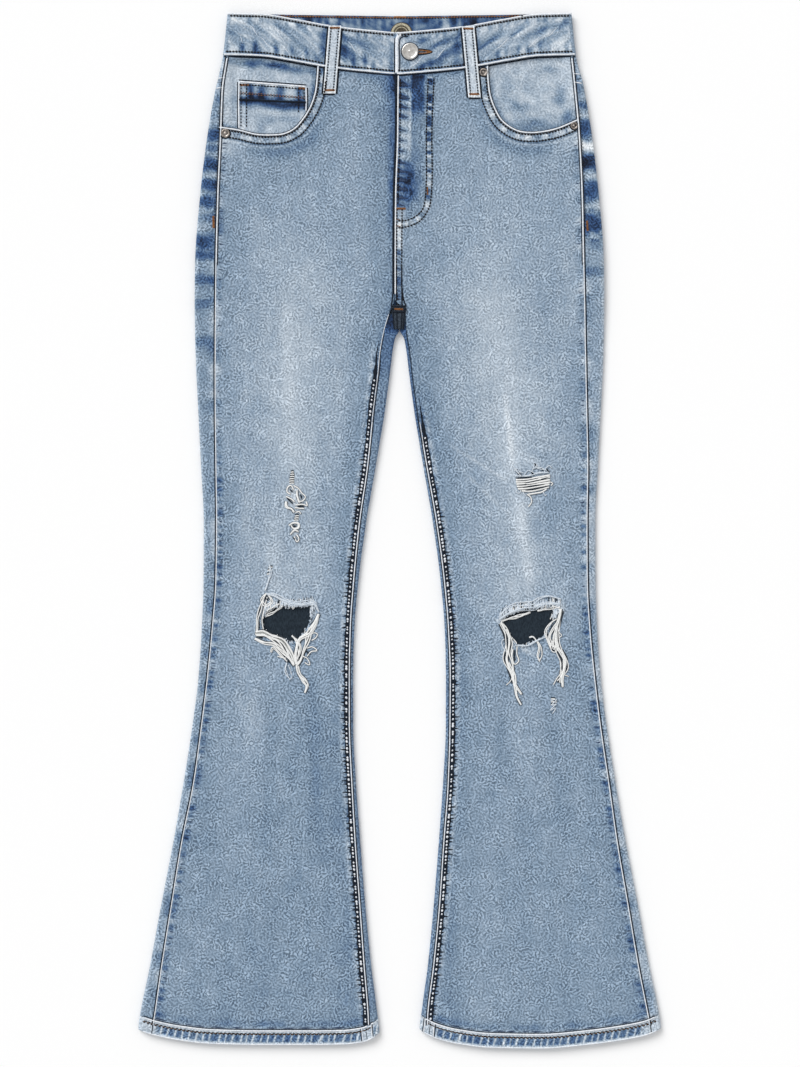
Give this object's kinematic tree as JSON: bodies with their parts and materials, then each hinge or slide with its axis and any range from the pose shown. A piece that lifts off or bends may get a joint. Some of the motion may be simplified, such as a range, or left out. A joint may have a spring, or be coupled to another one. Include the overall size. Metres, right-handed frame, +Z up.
{
  "type": "ripped flare jeans, laid flat",
  "caption": "High-waisted flared denim jeans laid flat, face up, in a light faded wash, with frayed rips at thighs and knees, scooped pockets, belt loops and a zip fly.",
  "frame": {"origin": "on the surface the jeans lie on, under the middle of their outline", "axes": "+Z up out of the front of the jeans, +Y towards the waist, +X towards the wearer's left side"},
  "size_m": [0.544, 1.0763, 0.012],
  "materials": {
    "denim": "light faded blue stretch denim, abraded along its seams",
    "dark_cloth": "dark navy backing cloth",
    "thread": "torn cream weft threads",
    "silver_metal": "satin silver",
    "pewter_metal": "dulled grey brass"
  },
  "bodies": {
    "root": {"front_leg_right": "denim", "front_leg_left": "denim", "back_leg_right": "denim", "back_leg_left": "denim", "back_yoke_right": "denim", "back_yoke_left": "denim", "hem_right": "denim", "hem_left": "denim", "waistband": "denim", "belt_loop_front_right": "denim", "belt_loop_front_left": "denim", "belt_loop_back_right": "denim", "belt_loop_back_left": "denim", "belt_loop_back_centre": "denim", "pocket_facing_right": "denim", "pocket_facing_left": "denim", "coin_pocket": "denim", "back_pocket_right": "denim", "back_pocket_left": "denim", "zip": "pewter_metal", "fly_underlap": "denim", "knee_backing_right": "dark_cloth", "knee_backing_left": "dark_cloth", "fray_knee_right": "thread", "fray_knee_left": "thread", "fray_thigh_right": "thread", "fray_thigh_left": "thread", "waist_button": "silver_metal", "rivet_right_low": "pewter_metal", "rivet_left_top": "pewter_metal", "rivet_left_low": "pewter_metal", "waist_disc": "dark_cloth"}
  },
  "joints": []
}
